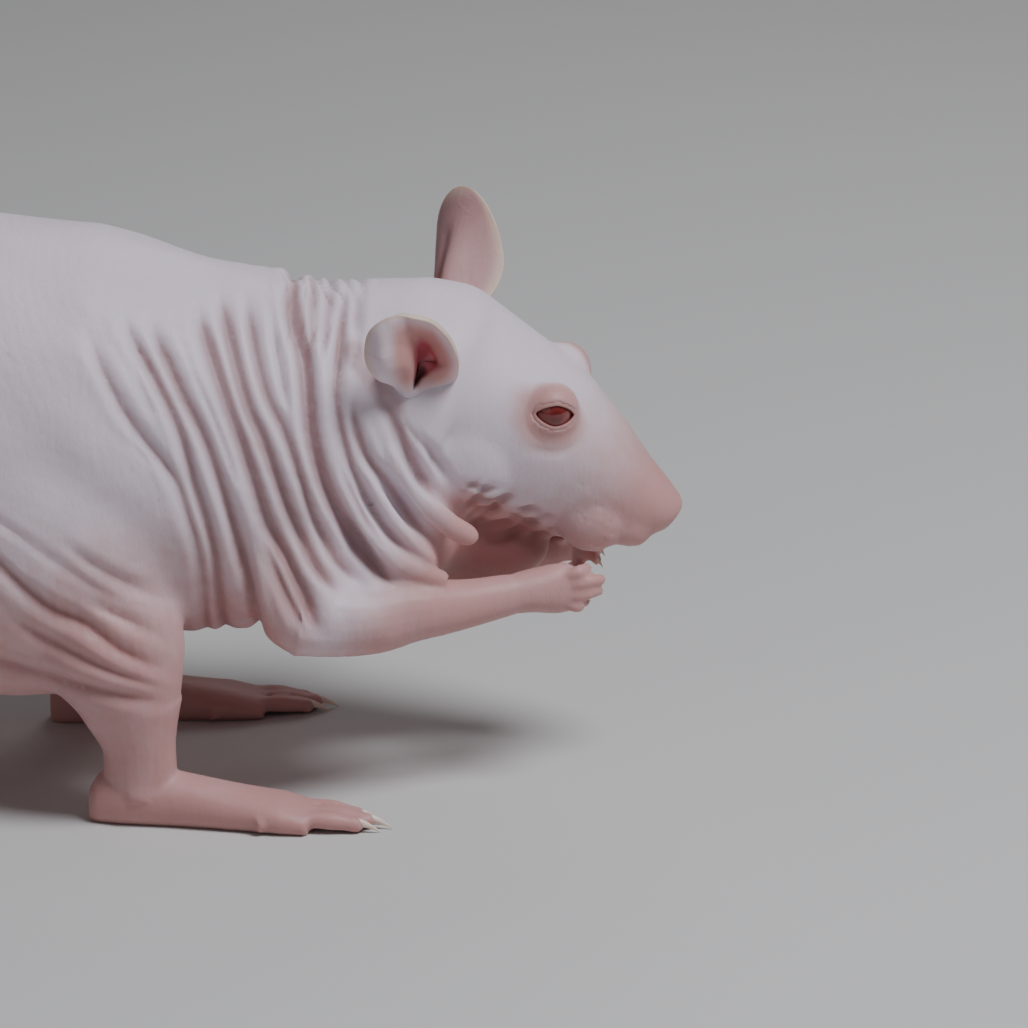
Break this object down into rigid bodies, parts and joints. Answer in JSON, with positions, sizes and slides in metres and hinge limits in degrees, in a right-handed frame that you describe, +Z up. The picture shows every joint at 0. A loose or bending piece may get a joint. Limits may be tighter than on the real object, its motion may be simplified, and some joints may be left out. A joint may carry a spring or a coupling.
{
  "type": "hairless pet rat model",
  "caption": "Life-size still model of a hairless pet rat, upright on its hind feet with a rounded, folded back and forepaws held at its mouth",
  "frame": {"origin": "bottom centre of the box round the whole animal, at floor level", "axes": "+X runs from tail to nose, +Y is the rat's left side, +Z is up"},
  "size_m": [0.2284, 0.1238, 0.0808],
  "materials": {
    "skin": "bare wrinkled skin, pale pink, soft sheen",
    "paw_skin": "thin pink skin of feet and tail",
    "ear_skin": "thin translucent skin, pink with a cream rim",
    "eye_gloss": "wet dark ruby eye"
  },
  "bodies": {
    "root": {"head": "skin", "neck": "skin", "torso": "skin", "rump": "skin", "thigh_right": "skin", "thigh_left": "skin", "shank_right": "skin", "shank_left": "skin", "upper_arm_right": "skin", "upper_arm_left": "skin", "forearm_right": "skin", "forearm_left": "skin", "hind_foot_right": "paw_skin", "hind_foot_left": "paw_skin", "forepaw_right": "paw_skin", "forepaw_left": "paw_skin", "tail_1": "paw_skin", "tail_2": "paw_skin", "tail_3": "paw_skin", "tail_4": "paw_skin", "ear_right": "ear_skin", "ear_left": "ear_skin", "eye_right": "eye_gloss", "eye_left": "eye_gloss"}
  },
  "joints": []
}
